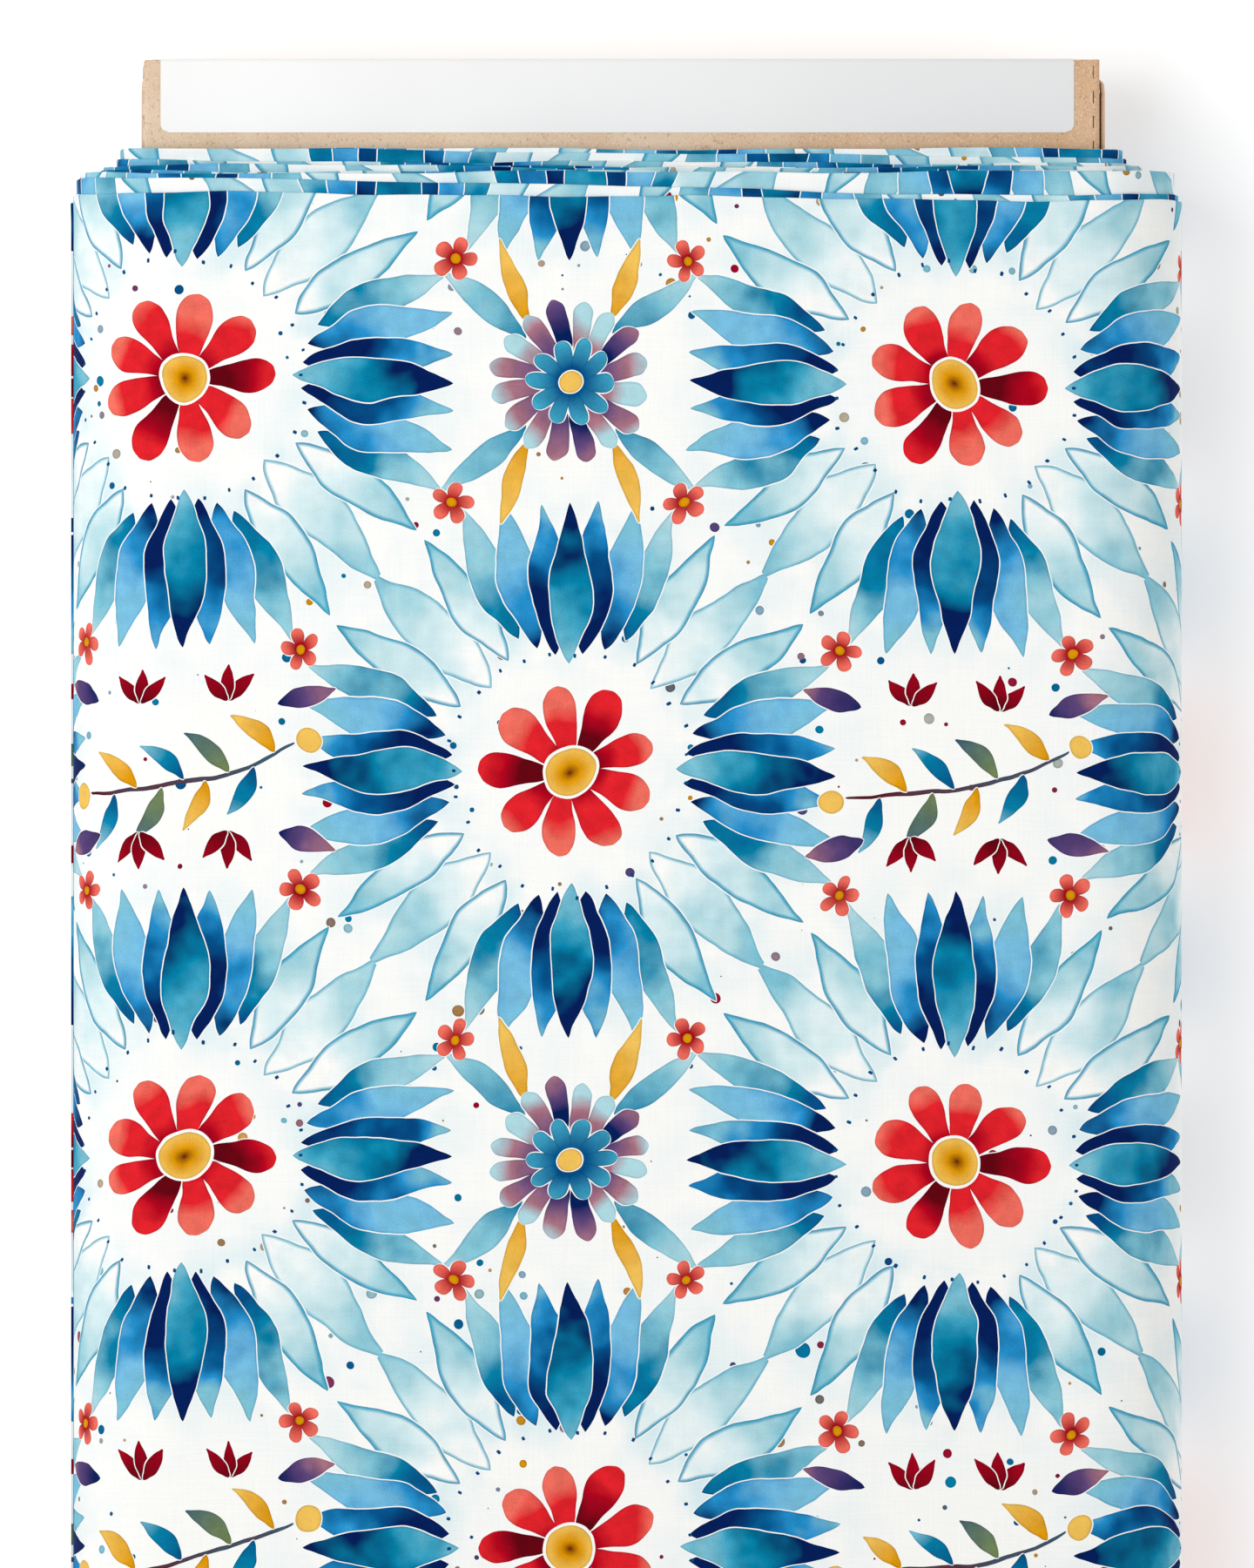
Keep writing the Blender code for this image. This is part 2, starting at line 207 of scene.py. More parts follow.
def grid_mesh(name, rows, material, skip=None, uvs=None):
    """A sheet through rows of points. skip(i, j) leaves a cell out; uvs has one (u, v) per point."""
    count = len(rows[0])
    points = [point for row in rows for point in row]
    faces = []
    for i in range(len(rows) - 1):
        for j in range(count - 1):
            if skip is None or not skip(i, j):
                low = i * count + j
                faces.append((low, low + 1, low + count + 1, low + count))
    mesh = bpy.data.meshes.new(name)
    mesh.from_pydata(points, [], faces)
    if uvs is not None:
        flat = [uv for row in uvs for uv in row]
        layer = mesh.uv_layers.new(name="cloth")
        for loop in mesh.loops:
            layer.data[loop.index].uv = flat[loop.vertex_index]
    mesh.update()
    return link_mesh(name, mesh, material)


# ======== Node helpers ========
class Graph:
    """Builds a material's nodes in the order in which they are worked out."""

    def __init__(self, name):
        self.material = bpy.data.materials.new(name)
        self.material.use_nodes = True
        self.tree = self.material.node_tree
        self.shader = self.tree.nodes["Principled BSDF"]

    def node(self, kind, inputs=(), **settings):
        made = self.tree.nodes.new(kind)
        for key, value in settings.items():
            setattr(made, key, value)
        for key, value in dict(inputs).items():
            self.put(made.inputs[key], value)
        return made

    def put(self, socket, value):
        if isinstance(value, bpy.types.NodeSocket):
            self.tree.links.new(value, socket)
        else:
            socket.default_value = value

    def math(self, operation, a, b=0.0, c=0.0):
        return self.node("ShaderNodeMath", {0: a, 1: b, 2: c}, operation=operation).outputs[0]

    def curve(self, value, points, height):
        """A smooth curve through points, level beyond both ends. Heights above 0 are times `height`."""
        made = self.node("ShaderNodeFloatCurve", {"Value": value})
        mapping = made.mapping
        mapping.use_clip = False
        line = mapping.curves[0]
        while len(line.points) < len(points):
            line.points.new(0.5, 0.5)
        for point, (place, level) in zip(line.points, points):
            point.location = (place, level if level < 0 else level * height)
            point.handle_type = "AUTO_CLAMPED"
        mapping.extend = "HORIZONTAL"
        mapping.update()
        return made.outputs[0]

    def mix_value(self, share, a, b):
        made = self.node("ShaderNodeMix", {0: share, 2: a, 3: b}, data_type="FLOAT", clamp_factor=True)
        return made.outputs[0]

    def place(self, point, at=(0, 0), turn=0.0, scale=(1, 1)):
        """Coordinates of a point in a frame at `at`, turned by `turn` radians, counted in `scale`."""
        return self.node("ShaderNodeMapping", {
            "Vector": point, "Location": (*at, 0), "Rotation": (0, 0, turn), "Scale": (*scale, 1)},
            vector_type="TEXTURE").outputs[0]

    def split(self, point):
        made = self.node("ShaderNodeSeparateXYZ", {0: point})
        return made.outputs[0], made.outputs[1]

    def local(self, point, at=(0, 0), turn=0.0, length=1.0):
        """A pair (x, y) seen from `at`: x along `turn` degrees in shares of length, y across it."""
        x, y = point
        cosine, sine = math.cos(math.radians(turn)), math.sin(math.radians(turn))
        along = -(at[0] * cosine + at[1] * sine) / length
        across = at[0] * sine - at[1] * cosine
        if turn:
            along = self.math("MULTIPLY_ADD", y, sine / length, along)
            across = self.math("MULTIPLY_ADD", x, -sine, across)
        return (self.math("MULTIPLY_ADD", x, cosine / length, along),
                self.math("MULTIPLY_ADD", y, cosine, across))

    def reach(self, point):
        x, y = point
        return self.math("SQRT", self.math("MULTIPLY_ADD", x, x, self.math("MULTIPLY", y, y)))

    def span(self, value, low, high, to_low=0.0, to_high=1.0):
        """From one level at `low` to another at `high`, with the clamp as a node of its own."""
        level = self.node("ShaderNodeMapRange", {
            "Value": value, "From Min": low, "From Max": high, "To Min": to_low, "To Max": to_high},
            clamp=False).outputs[0]
        limits = {0: level, 1: min(to_low, to_high), 2: max(to_low, to_high)}
        return self.node("ShaderNodeClamp", limits).outputs[0]

    def ramp(self, value, stops):
        made = self.node("ShaderNodeValToRGB", {0: value})
        elements = made.color_ramp.elements
        while len(elements) < len(stops):
            elements.new(0.5)
        for element, (place, colour) in zip(elements, stops):
            element.position = place
            element.color = (*colour, 1.0)
        return made.outputs[0]

    def mix(self, share, a, b, blend="MIX"):
        made = self.node("ShaderNodeMix", data_type="RGBA", blend_type=blend, clamp_factor=True)
        self.put(made.inputs[0], share)
        self.put(made.inputs[6], a if isinstance(a, bpy.types.NodeSocket) else (*a, 1.0))
        self.put(made.inputs[7], b if isinstance(b, bpy.types.NodeSocket) else (*b, 1.0))
        return made.outputs[2]

    def tint(self, share, colour, by):
        """Multiply a colour by another, as far as `share` says."""
        return self.mix(share, colour, self.mix(1.0, colour, by, "MULTIPLY"))

    def noise(self, point, scale, detail=2.0, roughness=0.5, colour=False):
        made = self.node("ShaderNodeTexNoise", {
            "Vector": point, "Scale": scale, "Detail": detail, "Roughness": roughness})
        return made.outputs["Color" if colour else "Fac"]

    def bump(self, height, strength, distance):
        inputs = {"Height": height, "Strength": strength, "Distance": distance}
        return self.node("ShaderNodeBump", inputs).outputs[0]

    def finish(self, colour, roughness, normal=None, **values):
        self.put(self.shader.inputs["Base Color"], colour)
        self.put(self.shader.inputs["Roughness"], roughness)
        if normal is not None:
            self.put(self.shader.inputs["Normal"], normal)
        for key, value in values.items():
            self.shader.inputs[key.replace("_", " ")].default_value = value
        return self.material


def paint(red, green, blue):
    """Linear colour from the 0 to 255 values that paint charts give."""
    return tuple((c / 255 / 12.92) if c <= 10 else ((c / 255 + 0.055) / 1.055) ** 2.4
                 for c in (red, green, blue))


# ======== Board, paper and tape ========
def kraft_material(name, light, dark, fibre_turn=0.0):
    """Kraft liner: tan with fine pale and dark fibres, slightly cloudy, with painted shade that makes
    it darker and warmer towards the right.
    """
    g = Graph(name)
    place = g.node("ShaderNodeTexCoord").outputs["Object"]
    stretched = g.place(place, turn=fibre_turn, scale=(1.0, 1.5))
    cloud = g.noise(place, 60.0, 3.0)
    colour = g.mix(g.span(cloud, 0.35, 0.68), light, dark)
    # Painted shade: the tan deepens from the middle to the right edge, standing in for the light
    # falling off.
    across = g.split(place)[0]
    colour = g.tint(g.span(across, 0.0, 0.11), colour, paint(246, 226, 206))
    fibre = g.noise(stretched, 2700.0, 2.0, 0.7)
    colour = g.mix(g.span(fibre, 0.54, 0.68, 0.0, 0.75), colour, paint(240, 220, 194))
    speck = g.noise(stretched, 2000.0, 2.0, 0.7)
    colour = g.mix(g.span(speck, 0.58, 0.72, 0.0, 0.62), colour, paint(150, 112, 80))
    normal = g.bump(fibre, 0.5, 0.0001)
    return g.finish(colour, g.span(fibre, 0.3, 0.7, 0.80, 0.95), normal, Specular_IOR_Level=0.25)


def paper_material():
    """Smooth white label stock with a very fine tooth, with painted shade that greys it towards the
    right.
    """
    g = Graph("label_paper")
    place = g.node("ShaderNodeTexCoord").outputs["Object"]
    cloud = g.noise(place, 35.0, 2.0)
    colour = g.mix(g.span(cloud, 0.3, 0.7), paint(249, 248, 247), paint(245, 244, 243))
    # Painted shade: the white greys from left to right, standing in for the light falling off.
    across = g.split(place)[0]
    colour = g.mix(g.span(across, -0.08, 0.10), colour, paint(228, 228, 228))
    tooth = g.noise(place, 3200.0, 2.0)
    return g.finish(colour, g.span(tooth, 0.3, 0.7, 0.50, 0.62), g.bump(tooth, 0.12, 0.00004))


def tape_material():
    """Creped paper tape."""
    g = Graph("creped_tape")
    place = g.node("ShaderNodeTexCoord").outputs["Object"]
    crepe = g.noise(g.place(place, scale=(8.0, 1.0)), 2400.0, 2.0)
    colour = g.mix(g.span(crepe, 0.35, 0.65), paint(226, 212, 176), paint(206, 190, 150))
    return g.finish(colour, 0.55, g.bump(crepe, 0.5, 0.0001))


AXES = {"x": 0, "y": 1, "z": 2}


def corrugated(node, across, normal, along, material, trim=0.0, trim_across=0.0, stations=(), bow=None):
    """A corrugated sheet in a CAD plate's place: two liners with a wavy medium between them.

    across, normal and along name the axis over the flutes, through the sheet and along the flutes.
    trim shortens the sheet at its two ends, and trim_across at its two sides.
    """
    low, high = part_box(node)
    a, n, f = AXES[across], AXES[normal], AXES[along]
    start, stop = low[f] + trim, high[f] - trim
    places = [start, *(place for place in stations if start < place < stop), stop]
    side_low, side_high = low[a] + trim_across, high[a] - trim_across
    body = bmesh.new()

    def prism(outline):
        """A closed band through `outline`, whose second half runs back along the first."""
        rings = []
        for place in places:
            ring = []
            for over, through in outline:
                point = Vector((0, 0, 0))
                point[a], point[n], point[f] = over, through, place
                ring.append(body.verts.new(point + bow(point) if bow else point))
            rings.append(ring)
        join_rings(body, rings)
        count = len(outline)
        for ring in (rings[0], rings[-1]):
            for i in range(count // 2 - 1):
                body.faces.new((ring[i], ring[i + 1], ring[count - 2 - i], ring[count - 1 - i]))

    steps = max(8, round((side_high - side_low) / FLUTE_PITCH * 8))
    overs = [side_low + (side_high - side_low) * step / steps for step in range(steps + 1)]
    liner_overs = overs if bow else [side_low, side_high]
    for bottom, top in ((low[n], low[n] + LINER), (high[n] - LINER, high[n])):
        prism([(over, bottom) for over in liner_overs]
              + [(over, top) for over in reversed(liner_overs)])
    middle = (low[n] + high[n]) / 2
    swing = (high[n] - low[n]) / 2 - LINER - MEDIUM / 2
    wave = [(over, middle + swing * math.sin(2 * math.pi * (over - low[a]) / FLUTE_PITCH))
            for over in overs]
    prism([(over, through - MEDIUM / 2) for over, through in wave]
          + [(over, through + MEDIUM / 2) for over, through in reversed(wave)])
    return finish_body(body, node + "_board", material, 30)


def quarter(centre, radius, first, last, steps=6):
    """Points of an arc in a plane, angles in degrees."""
    angles = [math.radians(first + (last - first) * step / steps) for step in range(steps + 1)]
    return [(centre[0] + radius * math.cos(t), centre[1] + radius * math.sin(t)) for t in angles]


def strip(name, profile, plane, start, stop, stations, material, skip=None):
    """A liner strip: a profile in a plane ("xz" or "yz") run along the third axis."""
    a, b = AXES[plane[0]], AXES[plane[1]]
    rows = []
    for i in range(stations + 1):
        row = []
        for first, second in profile:
            point = [start + (stop - start) * i / stations] * 3
            point[a], point[b] = first, second
            row.append(tuple(point))
        rows.append(row)
    obj = grid_mesh(name, rows, material, skip)
    return thicken(obj, LINER)


# ======== The wound cloth ========
def fold_setback(turn):
    for (first, low), (second, high) in zip(FOLD_SETBACK, FOLD_SETBACK[1:]):
        if turn <= second:
            share = (turn - first) / (second - first)
            return low + (high - low) * share * share * (3 - 2 * share)
    return FOLD_SETBACK[-1][1]


def wrap_depth(turn):
    whole = math.floor(turn)
    phase = turn - whole
    if phase < 0.25:
        return whole
    if phase < 0.5:
        return whole + (phase - 0.25) * 2
    if phase < 0.75:
        return whole + 0.5
    return whole + 0.5 + (phase - 0.75) * 2


def side_point(share, depth, side):
    rise = TURN_RISE_LEFT if side < 0 else TURN_RISE_RIGHT
    reach = HALF_WIDTH + FIRST_WRAP + rise * depth
    height = HALF_CORE + FIRST_WRAP + TURN_RISE * depth
    bend = FIRST_BEND + BEND_RISE * depth
    flat = height - bend
    if share < BEND_SHARE:
        angle = math.radians(90 * (1 - share / BEND_SHARE))
        level = flat
    elif share > 1 - BEND_SHARE:
        angle = math.radians(-90 * (share - 1 + BEND_SHARE) / BEND_SHARE)
        level = -flat
    else:
        angle = 0.0
        level = flat * (0.5 - share) / (0.5 - BEND_SHARE)
    across = reach - bend + bend * math.cos(angle)
    return CORE_X + side * across, CORE_Z + level + bend * math.sin(angle)


def wrap_point(turn):
    """The middle of the doubled cloth, as (x, z), at this point of the winding."""
    phase = turn - math.floor(turn)
    depth = wrap_depth(turn)
    if phase < 0.25:
        left, right = side_point(0, depth, -1), side_point(0, depth, 1)
        share = phase / 0.25
        x = left[0] + (right[0] - left[0]) * share
        return x, left[1] + CROWN * depth / TURNS * math.sin(math.pi * share) ** 2
    if phase < 0.5:
        return side_point((phase - 0.25) / 0.25, depth, 1)
    if phase < 0.75:
        left, right = side_point(1, depth, -1), side_point(1, depth, 1)
        share = (phase - 0.5) / 0.25
        return right[0] + (left[0] - right[0]) * share, right[1]
    return side_point(1 - (phase - 0.75) / 0.25, depth, -1)


def division_turns(first, last, face_steps, bend_steps, wall_steps):
    """Points of the winding where the mesh is divided."""
    bend = [BEND_SHARE * i / bend_steps for i in range(bend_steps)]
    wall = [BEND_SHARE + (1 - 2 * BEND_SHARE) * i / wall_steps for i in range(wall_steps)]
    shares = bend + wall + [1 - BEND_SHARE * (1 - i / bend_steps) for i in range(bend_steps)]
    phases = [0.25 * i / face_steps for i in range(face_steps)]
    phases += [0.25 + 0.25 * share for share in shares]
    phases += [0.5 + 0.25 * i / face_steps for i in range(face_steps)]
    phases += [0.75 + 0.25 * share for share in shares]
    turns = [whole + phase for whole in range(TURNS) for phase in phases]
    return [first] + [turn for turn in turns if first + 1e-4 < turn < last - 1e-4] + [last]


def arc_length_table():
    """Arc length at many turns, so the print runs evenly along the cloth."""
    table = [(0.0, 0.0)]
    before = wrap_point(0.0)
    for step in range(1, TURNS * STEPS_PER_TURN + 1):
        turn = min(step / STEPS_PER_TURN, TURNS - TINY_TURN)
        here = wrap_point(turn)
        table.append((turn, table[-1][1] + math.dist(before, here)))
        before = here
    return table


LENGTHS = arc_length_table()


def length_at(turn):
    place = min(turn * STEPS_PER_TURN, len(LENGTHS) - 2)
    low = int(place)
    (t0, s0), (t1, s1) = LENGTHS[low], LENGTHS[low + 1]
    return s0 + (s1 - s0) * (turn - t0) / max(t1 - t0, 1e-9)


def edge_waver(length):
    """Small hand-wound wandering of the fold along the cloth."""
    return sum(size * math.sin(length * pace + start) for size, pace, start in FOLD_WAVES)


def across_stations(middle_steps):
    """Distance from the fold and side of the ply, from one cut edge over the fold to the other."""
    edge = [0.0, 0.0006, 0.0014, 0.0026, FLARE_LENGTH]
    middle = [FLARE_LENGTH + (FOLDED_WIDTH - 2 * FLARE_LENGTH) * (i + 1) / middle_steps
              for i in range(middle_steps)]
    one_side = edge + middle + [FOLDED_WIDTH - 0.0015, FOLDED_WIDTH]
    stations = []
    for distance in reversed(one_side):
        stations.append((distance, 1.0))
    for angle in (60, 30, 0, -30, -60):
        stations.append((-FOLD_FLARE * math.cos(math.radians(angle)), math.sin(math.radians(angle))))
    for distance in one_side:
        stations.append((distance, -1.0))
    return stations


def ply_offset(distance):
    """How far each ply stands from the middle of the doubled cloth."""
    if distance <= 0:
        return FOLD_FLARE
    if distance >= FLARE_LENGTH:
        return PLY_GAP
    share = distance / FLARE_LENGTH
    return FOLD_FLARE + (PLY_GAP - FOLD_FLARE) * share * share * (3 - 2 * share)


def wound_cloth(name, turns, middle_steps, material):
    """Doubled cloth along the winding, folded at the labelled end and open at the other."""
    stations = across_stations(middle_steps)
    rows, uvs = [], []
    for turn in turns:
        step = 1e-4
        x, z = wrap_point(turn)
        ax, az = wrap_point(min(turn + step, TURNS - TINY_TURN))
        bx, bz = wrap_point(max(turn - step, 0.0))
        along = Vector((ax - bx, az - bz)).normalized()
        outward = Vector((-along.y, along.x))
        length = length_at(turn)
        fold = HALF_LENGTH - fold_setback(turn) + edge_waver(length)
        row, uv = [], []
        for distance, side in stations:
            offset = side * ply_offset(distance)
            row.append((x + outward.x * offset, fold - distance, z + outward.y * offset))
            uv.append((length, -distance))
        rows.append(row)
        uvs.append(uv)
    obj = grid_mesh(name, rows, material, uvs=uvs)
    return thicken(obj, PLY), length_at(turns[-1]) - length_at(turns[0])


# ======== The printed cotton. Lengths in the print are in centimetres. ========
NAVY = paint(2, 30, 90)
DEEP = paint(10, 78, 134)
TEAL = paint(24, 130, 168)
SKY = paint(72, 166, 196)
AQUA = paint(130, 195, 213)
PALE = paint(177, 218, 226)
MIST = paint(220, 240, 243)
HALO = paint(206, 233, 240)
PURPLE = paint(96, 72, 122)
MAUVE = paint(172, 118, 132)
CORAL = paint(240, 116, 102)
RED = paint(226, 54, 60)
CRIMSON = paint(164, 18, 36)
DARK_RED = paint(100, 8, 20)
OCHRE = paint(222, 152, 24)
HONEY = paint(243, 196, 96)
GREEN = paint(118, 136, 84)
SLATE = paint(64, 98, 116)
GROUND = paint(252, 252, 249)
AZURE = paint(52, 146, 204)
SKYWASH = paint(122, 190, 226)

REPEAT = (16.34, 16.48)  # the print's repeat along and across the cloth
DOT_CELLS = 2.2  # small dots to the centimetre in the open ground
BARE_RIM = 0.024  # unpainted line round each shape
WANDER = 0.42  # how far the brush strays
HALO_REACH = 7.0  # of the faint blue round each flower
FLOWER_X = -0.0133  # where one flower sits on the front of the outermost wrap, in metres
FLOWER_Y = 0.1539

# Outlines: half width, in shares of the widest, at places along the shape. OFF is beyond its ends.
OFF = -0.3
LEAF = ((0, OFF), (0.03, 0.0), (0.2, 0.60), (0.42, 1.0), (0.7, 0.74), (0.9, 0.27), (0.99, 0.0),
        (1.02, OFF))
PETAL = ((0, OFF), (0.02, 0.15), (0.35, 0.70), (0.7, 1.0), (0.9, 0.80), (0.985, 0.2), (1.01, OFF))
STROKE = ((0, OFF), (0.02, 0.5), (0.2, 0.9), (0.6, 1.0), (0.97, 0.6), (1.0, OFF))
BROAD_PETAL = ((0.20, OFF), (0.22, 0.30), (0.5, 0.72), (0.78, 1.0), (0.93, 0.72), (0.99, 0.2),
               (1.01, OFF))
LONG_PETAL = ((0.3, OFF), (0.34, 0.4), (0.65, 0.9), (0.85, 1.0), (0.97, 0.4), (1.01, OFF))
RING_DOT = ((0.95, OFF), (0.96, 0.9), (0.985, 0.9), (0.995, OFF))
HALO_FADE = ((0, 0), (0.25, 0.1), (0.5, 0.8), (0.75, 0.35), (1, 0))


class Painter:
    """Lays the print's shapes over each other and remembers how deep inside its shape each point is."""

    def __init__(self, graph, wash):
        self.g = graph
        self.wash = wash            # cloudy value around 0 that varies the paint
        self.colour = GROUND
        self.depth = 1.0

    def lay(self, inside, colour, where=None, rim=BARE_RIM):
        g = self.g
        mask = g.math("GREATER_THAN", inside, -rim)
        if where is not None:
            mask = g.math("MULTIPLY", mask, where)
        self.colour = g.mix(mask, self.colour, colour)
        self.depth = g.mix_value(mask, self.depth, inside)

    def leaf(self, point, at, turn, length, half_width, tones, outline=LEAF, where=None, bend=0.0,
             wash=1.1, rim=BARE_RIM, border=None, border_width=0.09):
        g = self.g
        x, y = g.local(point, at, turn, length)
        if bend:
            arch = g.math("MULTIPLY", g.math("SUBTRACT", x, 1.0), x)
            y = g.math("MULTIPLY_ADD", arch, bend, y)
        width = g.curve(x, outline, half_width)
        inside = g.math("SUBTRACT", width, g.math("ABSOLUTE", y))
        tone = g.math("MULTIPLY_ADD", self.wash, wash, x)
        colour = g.ramp(tone, tones)
        if border:
            share = g.span(inside, border_width * 0.6, border_width * 1.5, 0.9, 0.0)
            colour = g.mix(share, colour, border)
        self.lay(inside, colour, where, rim)

    def dot(self, point, at, radius, colour, where=None, rim=BARE_RIM):
        inside = self.g.math("SUBTRACT", radius, self.g.reach(self.g.local(point, at)))
        self.lay(inside, colour, where, rim)

    def rosette(self, point, at, count, radius, half_width, tones, outline=PETAL, where=None, turn=0.0,
                uneven=0.0, rim=BARE_RIM):
        """Petals round a centre. Returns the distance from the centre."""
        g = self.g
        x, y = g.local(point, at)
        distance = g.reach((x, y))
        around = g.math("MULTIPLY_ADD", g.math("ARCTAN2", y, x), count / (2 * math.pi), turn + count)
        arc = g.math("MULTIPLY", g.math("SUBTRACT", g.math("FRACT", around), 0.5), distance)
        arc = g.math("ABSOLUTE", g.math("MULTIPLY", arc, 2 * math.pi / count))
        along = g.math("MULTIPLY", distance, 1 / radius)
        tone = g.math("MULTIPLY_ADD", self.wash, 0.5, along)
        if uneven:
            number = g.math("MODULO", g.math("FLOOR", around), count)
            chance = g.node("ShaderNodeTexWhiteNoise", {"W": number}, noise_dimensions="1D").outputs[0]
            along = g.math("MULTIPLY_ADD", g.math("SUBTRACT", chance, 0.5), uneven, along)
            tone = g.math("MULTIPLY_ADD", g.math("SUBTRACT", chance, 0.5), 0.7, tone)
        width = g.curve(along, outline, half_width)
        self.lay(g.math("SUBTRACT", width, arc), g.ramp(tone, tones), where, rim)
        return distance


def folded_frames(g, point):
    """A point seen from the nearest flower and from the nearest gap between flowers, in cm.

    Flowers stand on a centred lattice, and so do the gaps. The third value is 1 in one kind of gap
    and 0 in the other.
    """
    x, y = g.math("DIVIDE", point[0], REPEAT[0]), g.math("DIVIDE", point[1], REPEAT[1])

    def nearest(shift):
        """The point seen from the nearest corner of a grid that is moved by `shift` repeats."""
        seen = []
        for value, move in zip((x, y), shift):
            wrapped = g.math("WRAP", value, 0.5 + move, -0.5 + move)
            seen.append(g.math("SUBTRACT", wrapped, move) if move else wrapped)
        return seen

    def choose(first, second):
        """The point seen from the nearer of two places; the second one is turned half round."""
        span = g.math("ADD", g.math("ABSOLUTE", first[0]), g.math("ABSOLUTE", first[1]))
        is_first = g.math("LESS_THAN", span, 0.5)
        seen = [g.math("MULTIPLY", g.mix_value(is_first, g.math("MULTIPLY", b, -1.0), a), size)
                for a, b, size in zip(first, second, REPEAT)]
        return seen, is_first

    flower, _ = choose(nearest((0, 0)), nearest((0.5, 0.5)))
    between, between_kind = choose(nearest((0, 0.5)), nearest((0.5, 0)))
    return flower, between, between_kind


def paint_wreath(p, flower):
    """A plain wreath of pointed leaves round the flower, the same in all eight directions."""
    g = p.g
    wide, tall = [g.math("ABSOLUTE", value) for value in flower]
    octant = (g.math("MAXIMUM", wide, tall), g.math("MINIMUM", wide, tall))
    pale = [(0.1, GROUND), (0.4, MIST), (0.7, PALE), (1.0, AQUA)]
    teal = [(0.0, DEEP), (0.35, TEAL), (0.65, AQUA), (1.0, PALE)]
    azure = [(0.0, NAVY), (0.3, AZURE), (0.6, SKYWASH), (1.0, AQUA)]
    deep = [(0.0, NAVY), (0.3, NAVY), (0.55, DEEP), (0.8, AZURE), (1.0, AQUA)]
    navy_tip = [(0.0, AQUA), (0.25, SKY), (0.5, TEAL), (0.8, NAVY), (1.0, NAVY)]
    p.leaf(octant, (1.6, 1.6), 45, 3.7, 0.56, pale, border=AQUA, border_width=0.06)
    p.leaf(octant, (2.2, 1.3), 33, 3.3, 0.46, pale, border=SKY, border_width=0.07)
    p.leaf(octant, (2.7, 1.1), 22, 3.1, 0.40, teal)
    p.leaf(octant, (2.5, 0.7), 13, 3.3, 0.44, azure)
    p.leaf(octant, (2.4, 0.3), 5, 3.3, 0.44, deep)
    p.leaf(octant, (2.2, 0.0), 0, 3.5, 0.46, navy_tip)


def paint_flower(p, flower):
    """A plain red flower with nine broad petals, a honey-coloured middle and a ring of dots."""
    g = p.g
    reds = [(0.22, DARK_RED), (0.40, CRIMSON), (0.60, RED), (0.84, RED), (1.0, CORAL)]
    middle_radius = 0.52
    distance = p.rosette(flower, (0, 0), 9, 1.85, 0.38, reds, BROAD_PETAL, uneven=0.10, rim=0.02)
    share = g.math("DIVIDE", distance, middle_radius)
    middle = g.ramp(share, [(0.0, DARK_RED), (0.4, OCHRE), (1.0, HONEY)])
    p.lay(g.math("SUBTRACT", middle_radius, distance), middle, rim=0.06)
    p.rosette(flower, (0, 0), 27, 2.62, 0.036, [(0.0, DEEP), (1.0, DEEP)], RING_DOT,
              uneven=0.06, rim=0.0)


def paint_aster(p, between, where):
    """A round mauve and blue aster with plain leaves, in every second gap."""
    g = p.g
    corner = [g.math("ABSOLUTE", value) for value in between]
    p.leaf(corner, (0.9, 0.9), 38, 2.3, 0.30, [(0.0, TEAL), (0.6, AQUA), (1.0, PALE)], where=where)
    p.leaf(corner, (0.9, 1.2), 72, 1.9, 0.22, [(0.0, OCHRE), (0.8, HONEY)], where=where)
    mauves = [(0.3, NAVY), (0.5, PURPLE), (0.8, MAUVE), (1.0, PALE)]
    p.rosette(between, (0, 0), 16, 1.75, 0.22, mauves, LONG_PETAL, where=where, uneven=0.10)
    p.rosette(between, (0, 0), 10, 0.95, 0.18, [(0.3, DEEP), (1.0, SKY)], where=where, turn=0.5)
    p.dot(between, (0, 0), 0.25, HONEY, where=where)


def paint_branch(p, between, where):
    """A leafy branch with a berry at each end, in the other gaps."""
    g = p.g
    start, turn, length, bend = (-2.4, -0.5), 12, 4.9, 1.2
    dark = [(0.0, SLATE), (1.0, DARK_RED)]
    p.leaf(between, start, turn, length, 0.045, dark, STROKE, where=where, bend=bend, rim=0.0)
    cosine, sine = math.cos(math.radians(turn)), math.sin(math.radians(turn))
    tones = ([(0.1, OCHRE), (0.9, HONEY)],
             [(0.0, DEEP), (0.6, TEAL), (1.0, AQUA)],
             [(0.0, GREEN), (1.0, SLATE)])
    for step in range(8):
        share = 0.10 + 0.105 * step
        along, bow = length * share, bend * share * (1 - share)
        at = (start[0] + along * cosine - bow * sine, start[1] + along * sine + bow * cosine)
        side = 1 if step % 2 else -1
        p.leaf(between, at, turn + side * 52, 1.25, 0.20, tones[step % 3], where=where,
               bend=side * 0.4, wash=0.6)
    for at in ((-2.62, -0.56), (2.58, 0.58)):
        p.dot(between, at, 0.26, HONEY, where=where)


def paint_fillers(p, between, where):
    """Small florets in the corners of the gaps, and twigs and plum leaves beside the branches."""
    g = p.g
    corner = [g.math("ABSOLUTE", value) for value in between]
    p.rosette(corner, (2.45, 2.55), 5, 0.46, 0.15, [(0.2, CRIMSON), (0.8, CORAL)])
    p.dot(corner, (2.45, 2.55), 0.10, OCHRE, rim=0.0)
    for turn in (50, 90, 130):
        p.leaf(corner, (0.95, 1.35), turn, 0.8, 0.15, [(0.0, DARK_RED), (1.0, CRIMSON)], where=where)
    plum = [(0.0, NAVY), (0.6, PURPLE), (1.0, MAUVE)]
    p.leaf(corner, (1.95, 1.35), 16, 1.35, 0.24, plum, where=where)


